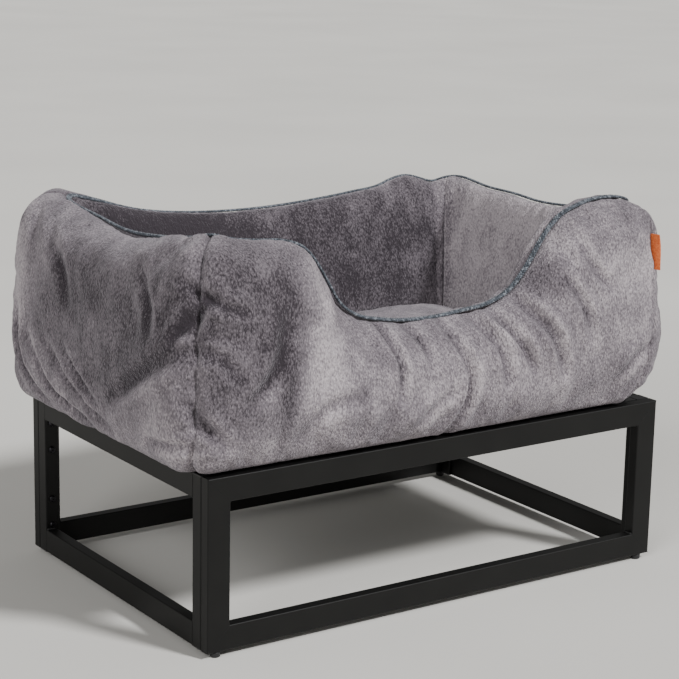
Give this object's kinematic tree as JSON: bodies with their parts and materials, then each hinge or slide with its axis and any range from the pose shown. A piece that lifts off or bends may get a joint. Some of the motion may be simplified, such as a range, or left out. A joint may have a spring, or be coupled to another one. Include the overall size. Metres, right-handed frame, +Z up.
{
  "type": "raised dog bed on a metal stand",
  "caption": "Rectangular plush dog bed with tall soft walls, a low front entry and a loose cushion, resting on a black bolted tube stand with levelling feet.",
  "frame": {"origin": "on the floor, midway between the four feet", "axes": "+X along the bed's long side, +Y towards the back wall, +Z up"},
  "size_m": [0.976, 0.656, 0.6478],
  "materials": {
    "powder_coated_steel": "satin",
    "blackened_steel": "satin",
    "zinc_plated_steel": "satin",
    "black_nylon": "matte",
    "black_faced_board": "matte",
    "polyurethane_foam": "matte",
    "grey_plush": "matte",
    "slate_braid": "matte",
    "orange_label": "satin",
    "non_slip_cloth": "matte",
    "polyester_fibre": "matte",
    "zip_tape": "matte",
    "zip_coil": "satin",
    "zip_metal": "satin"
  },
  "bodies": {
    "stand": {"front_top_rail": "powder_coated_steel", "front_bottom_rail": "powder_coated_steel", "front_left_upright": "powder_coated_steel", "front_right_upright": "powder_coated_steel", "back_top_rail": "powder_coated_steel", "back_bottom_rail": "powder_coated_steel", "back_left_upright": "powder_coated_steel", "back_right_upright": "powder_coated_steel", "left_end_front_post": "powder_coated_steel", "left_end_back_post": "powder_coated_steel", "left_end_top_rail": "powder_coated_steel", "left_end_bottom_rail": "powder_coated_steel", "right_end_front_post": "powder_coated_steel", "right_end_back_post": "powder_coated_steel", "right_end_top_rail": "powder_coated_steel", "right_end_bottom_rail": "powder_coated_steel", "front_left_bolts": "blackened_steel", "front_right_bolts": "blackened_steel", "back_left_bolts": "blackened_steel", "back_right_bolts": "blackened_steel", "front_left_rivet_nuts": "zinc_plated_steel", "front_right_rivet_nuts": "zinc_plated_steel", "back_left_rivet_nuts": "zinc_plated_steel", "back_right_rivet_nuts": "zinc_plated_steel", "foot_rivet_nuts": "zinc_plated_steel", "post_end_plugs": "black_nylon", "support_tabs": "powder_coated_steel", "panel_screws": "blackened_steel", "platform_panel": "black_faced_board"},
    "bed": {"front_wall_foam": "polyurethane_foam", "front_wall_cover": "grey_plush", "right_wall_foam": "polyurethane_foam", "right_wall_cover": "grey_plush", "back_wall_foam": "polyurethane_foam", "back_wall_cover": "grey_plush", "left_wall_foam": "polyurethane_foam", "left_wall_cover": "grey_plush", "crest_braid": "slate_braid", "side_tag": "orange_label", "bed_underside": "non_slip_cloth", "floor_foam": "polyurethane_foam", "floor_cover": "grey_plush"},
    "cushion": {"cushion_filling": "polyester_fibre", "cushion_cover": "grey_plush", "cushion_zip_tape": "zip_tape", "cushion_zip_coil": "zip_coil"},
    "zip_slider": {"zip_slider": "zip_metal", "zip_pull": "zip_metal"},
    "front_left_foot": {"front_left_foot_pad": "black_nylon", "front_left_foot_stud": "zinc_plated_steel"},
    "front_right_foot": {"front_right_foot_pad": "black_nylon", "front_right_foot_stud": "zinc_plated_steel"},
    "back_left_foot": {"back_left_foot_pad": "black_nylon", "back_left_foot_stud": "zinc_plated_steel"},
    "back_right_foot": {"back_right_foot_pad": "black_nylon", "back_right_foot_stud": "zinc_plated_steel"}
  },
  "joints": [
    {"name": "bed_lift", "type": "slide", "parent": "stand", "child": "bed", "axis": [0, 0, 1], "range_m": [0, 0.3]},
    {"name": "cushion_lift", "type": "slide", "parent": "bed", "child": "cushion", "axis": [0, 0, 1], "range_m": [0, 0.36]},
    {"name": "zip_slide", "type": "slide", "parent": "cushion", "child": "zip_slider", "axis": [1, 0, 0], "range_m": [0, 0.584]},
    {"name": "front_left_foot_level", "type": "slide", "parent": "stand", "child": "front_left_foot", "axis": [0, 0, -1], "range_m": [0, 0.006]},
    {"name": "front_right_foot_level", "type": "slide", "parent": "stand", "child": "front_right_foot", "axis": [0, 0, -1], "range_m": [0, 0.006]},
    {"name": "back_left_foot_level", "type": "slide", "parent": "stand", "child": "back_left_foot", "axis": [0, 0, -1], "range_m": [0, 0.006]},
    {"name": "back_right_foot_level", "type": "slide", "parent": "stand", "child": "back_right_foot", "axis": [0, 0, -1], "range_m": [0, 0.006]}
  ]
}
